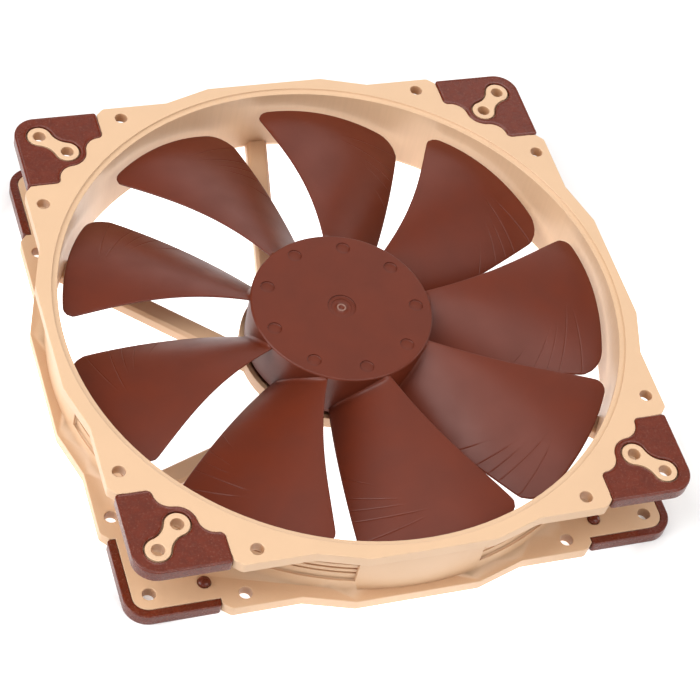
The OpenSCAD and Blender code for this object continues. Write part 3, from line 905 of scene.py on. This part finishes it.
# Azimuth, elevation and roll in degrees; shift to the right and up, distance and height of the aim, in metres;
# and sensor width and focal length in millimetres
CAMERA_ANGLES = (-29.56, 50.71, 16.2)
CAMERA_SHIFT = (0.00467, -0.00798)
CAMERA_DISTANCE = 0.7676
CAMERA_AIM = 0.015
CAMERA_LENS = (36, 116.6)


def outward(azimuth, elevation):
    """The unit vector towards an azimuth, counted from -y towards +x, and an elevation, both in degrees."""
    a, e = math.radians(azimuth), math.radians(elevation)
    return Vector((math.sin(a) * math.cos(e), -math.cos(a) * math.cos(e), math.sin(e)))


def make_camera():
    """The camera that looks at the fan's middle, turned by its roll and shifted in its own plane."""
    azimuth, elevation, roll_angle = CAMERA_ANGLES
    roll = math.radians(roll_angle)
    back = outward(azimuth, elevation)
    side = Vector((0, 0, 1)).cross(back).normalized()
    up = back.cross(side)
    right = math.cos(roll) * side + math.sin(roll) * up
    top = math.cos(roll) * up - math.sin(roll) * side
    data = bpy.data.cameras.new("camera")
    data.sensor_width, data.lens = CAMERA_LENS
    camera = bpy.data.objects.new("camera", data)
    bpy.context.collection.objects.link(camera)
    shift = right * CAMERA_SHIFT[0] + top * CAMERA_SHIFT[1]
    place = Vector((0, 0, CAMERA_AIM)) + back * CAMERA_DISTANCE + shift
    camera.matrix_world = Matrix((
        (right.x, top.x, back.x, place.x), (right.y, top.y, back.y, place.y),
        (right.z, top.z, back.z, place.z), (0, 0, 0, 1)))
    bpy.context.scene.camera = camera


def make_light(name, power, size, place):
    """A square soft light that faces the origin."""
    data = bpy.data.lights.new(name, "AREA")
    data.energy = power
    data.size = size
    light = bpy.data.objects.new(name, data)
    bpy.context.collection.objects.link(light)
    light.location = place
    light.rotation_euler = (-place).to_track_quat("-Z", "Y").to_euler()


# Name, power in watts, size in metres, and place as azimuth and elevation in degrees and distance in metres
LIGHTS = (
    ("overhead", 6, 0.7, 0, 89, 1.7),
    ("high_right", 11, 1.0, 30, 55, 1.6),
    ("high_back", 2, 1.0, 150, 55, 1.6),
    ("high_left", 18, 1.0, -90, 55, 1.6),
    ("low_front", 4, 1.0, -30, 20, 1.6),
    ("low_front_right", 4, 1.0, 30, 20, 1.6),
    ("low_right", 8, 1.0, 90, 20, 1.6),
    ("low_back", 6, 1.0, 150, 20, 1.6),
    ("low_left", 15, 1.0, -90, 20, 1.6),
)
# Strength of the even surround
SURROUND = 0.02
# Painted light: the floor glows under the fan, lighting the fan from below and filling its shadow there.
# The glow's strength, the radii in metres between which it fades out, and half of the floor's width
GLOW = 1.4
GLOW_RADII = (0.092, 0.125)
FLOOR_HALF = 3000


def make_studio():
    """Pale floor with a painted glow under the fan, soft lights and a dim even surround."""
    material, tree, shader = new_material("floor")
    set_inputs(shader, Base_Color=(0.9, 0.9, 0.9, 1), Roughness=0.9, Specular_IOR_Level=0.0)
    set_inputs(shader, Emission_Color=(1, 1, 1, 1))
    # Painted light: the floor glows under the fan and fades out beyond it.
    glow = spread(tree, distance_from(tree, own_place(tree)), GLOW, 0, GLOW_RADII)
    tree.links.new(glow, shader.inputs["Emission Strength"])
    MATERIALS["floor"] = material
    corners = [(x * FLOOR_HALF, y * FLOOR_HALF, 0) for x, y in ((-1, -1), (1, -1), (1, 1), (-1, 1))]
    floor = mesh_object("floor", corners, [(0, 1, 2, 3)], "floor")
    world = bpy.data.worlds.new("surround")
    world.use_nodes = True
    set_inputs(world.node_tree.nodes["Background"], Color=(1, 1, 1, 1), Strength=SURROUND)
    bpy.context.scene.world = world
    for name, power, size, azimuth, elevation, distance in LIGHTS:
        make_light(name, power, size, outward(azimuth, elevation) * distance)
    bpy.context.scene.view_settings.view_transform = "Standard"


# ---------------------------------------------------------------- Assembly

NODE_ROUNDING = 0.12
FRAME_ROUNDING = 0.25
# Heights of the floors that the rear and the front pads' plates lie on
RECESS_FLOORS = (1.75, 28.25)
# Slots of the nodes that have a mesh of their own here
MESHED_SLOTS = ("frame_plastic", "pad_rubber", "impeller_plastic", "lamination", "winding")

make_camera()
make_studio()
rounded_copy("frame", "frame_plastic", FRAME_ROUNDING, "root", RECESS_FLOORS)
make_pads()
make_stator()
make_coils()
make_impeller()
for part in frame["record"]["subparts"]:
    if part["material_slot"] not in MESHED_SLOTS:
        finish_node(part["node"], part["material_slot"], NODE_ROUNDING)
